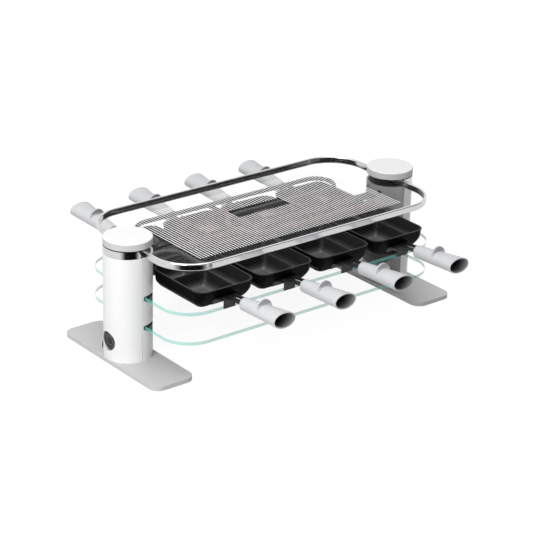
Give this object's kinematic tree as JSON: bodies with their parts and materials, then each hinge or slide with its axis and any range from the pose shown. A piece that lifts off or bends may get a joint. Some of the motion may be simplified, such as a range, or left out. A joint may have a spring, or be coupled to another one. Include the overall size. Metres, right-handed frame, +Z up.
{
  "type": "raclette grill",
  "caption": "Table-top raclette grill: glass cooking plate in a metal band between two round columns, heating element below, glass shelves and small pans with hollow handles.",
  "frame": {"origin": "on the table, midway between the two columns", "axes": "+X along the grill to the column without a switch, +Y away from the front row of pans, +Z up"},
  "size_m": [0.538, 0.4776, 0.1816],
  "materials": {
    "white_shell": "glossy white moulded plastic",
    "grey_paint": "smooth light grey paint",
    "rubber_pad": "matt rubber",
    "black_core": "matt black heat resistant plastic",
    "chrome_trim": "polished chrome",
    "clear_glass": "clear toughened glass",
    "green_glass": "clear glass with a green edge",
    "element_steel": "heat tinted steel tube",
    "zinc_steel": "zinc plated steel",
    "non_stick": "near black non-stick coating on aluminium",
    "black_sheet": "black coated sheet steel",
    "pale_plastic": "smooth satin off-white plastic",
    "black_plastic": "glossy black plastic",
    "ivory_plastic": "matt ivory plastic",
    "wire_sleeve": "silicone sleeve",
    "black_rubber": "matt black rubber"
  },
  "bodies": {
    "grill_frame": {"left_foot_plate": "grey_paint", "left_foot_pads": "rubber_pad", "left_outer_shell": "white_shell", "left_inner_shell": "white_shell", "left_column_core": "black_core", "left_trim_ring": "chrome_trim", "left_cap": "white_shell", "right_foot_plate": "grey_paint", "right_foot_pads": "rubber_pad", "right_outer_shell": "white_shell", "right_inner_shell": "white_shell", "right_column_core": "black_core", "right_trim_ring": "chrome_trim", "right_cap": "white_shell", "chrome_band": "chrome_trim", "cooking_plate": "clear_glass", "pan_shelf": "green_glass", "storage_shelf": "green_glass", "heating_element": "element_steel", "element_terminals": "zinc_steel", "element_rail": "zinc_steel", "element_crossbars": "zinc_steel", "switch_bezel": "black_plastic", "switch_body": "black_plastic", "terminal_block": "ivory_plastic", "inner_wires": "wire_sleeve", "thermal_fuse": "ivory_plastic", "cord_grommet": "black_rubber", "plate_screws": "zinc_steel", "band_screws": "zinc_steel", "cap_screws": "zinc_steel"},
    "pan_1": {"pan_dish_1": "non_stick", "pan_bracket_1": "black_sheet", "pan_handle_1": "pale_plastic"},
    "pan_2": {"pan_dish_2": "non_stick", "pan_bracket_2": "black_sheet", "pan_handle_2": "pale_plastic"},
    "pan_3": {"pan_dish_3": "non_stick", "pan_bracket_3": "black_sheet", "pan_handle_3": "pale_plastic"},
    "pan_4": {"pan_dish_4": "non_stick", "pan_bracket_4": "black_sheet", "pan_handle_4": "pale_plastic"},
    "pan_5": {"pan_dish_5": "non_stick", "pan_bracket_5": "black_sheet", "pan_handle_5": "pale_plastic"},
    "pan_6": {"pan_dish_6": "non_stick", "pan_bracket_6": "black_sheet", "pan_handle_6": "pale_plastic"},
    "pan_7": {"pan_dish_7": "non_stick", "pan_bracket_7": "black_sheet", "pan_handle_7": "pale_plastic"},
    "pan_8": {"pan_dish_8": "non_stick", "pan_bracket_8": "black_sheet", "pan_handle_8": "pale_plastic"},
    "rocker": {"switch_rocker": "black_plastic"}
  },
  "joints": [
    {"name": "pan_1_slide", "type": "slide", "parent": "grill_frame", "child": "pan_1", "axis": [0, -1, 0], "range_m": [-0.0024, 0.13]},
    {"name": "pan_2_slide", "type": "slide", "parent": "grill_frame", "child": "pan_2", "axis": [0, -1, 0], "range_m": [-0.0024, 0.13]},
    {"name": "pan_3_slide", "type": "slide", "parent": "grill_frame", "child": "pan_3", "axis": [0, -1, 0], "range_m": [-0.0024, 0.13]},
    {"name": "pan_4_slide", "type": "slide", "parent": "grill_frame", "child": "pan_4", "axis": [0, -1, 0], "range_m": [-0.0024, 0.13]},
    {"name": "pan_5_slide", "type": "slide", "parent": "grill_frame", "child": "pan_5", "axis": [0, 1, 0], "range_m": [-0.0024, 0.13]},
    {"name": "pan_6_slide", "type": "slide", "parent": "grill_frame", "child": "pan_6", "axis": [0, 1, 0], "range_m": [-0.0024, 0.13]},
    {"name": "pan_7_slide", "type": "slide", "parent": "grill_frame", "child": "pan_7", "axis": [0, 1, 0], "range_m": [-0.0024, 0.13]},
    {"name": "pan_8_slide", "type": "slide", "parent": "grill_frame", "child": "pan_8", "axis": [0, 1, 0], "range_m": [-0.0024, 0.13]},
    {"name": "rocker_tip", "type": "hinge", "parent": "grill_frame", "child": "rocker", "pos_m": [-0.2634, 0, 0.0345], "axis": [0, 1, 0], "range_deg": [0, 12]}
  ]
}
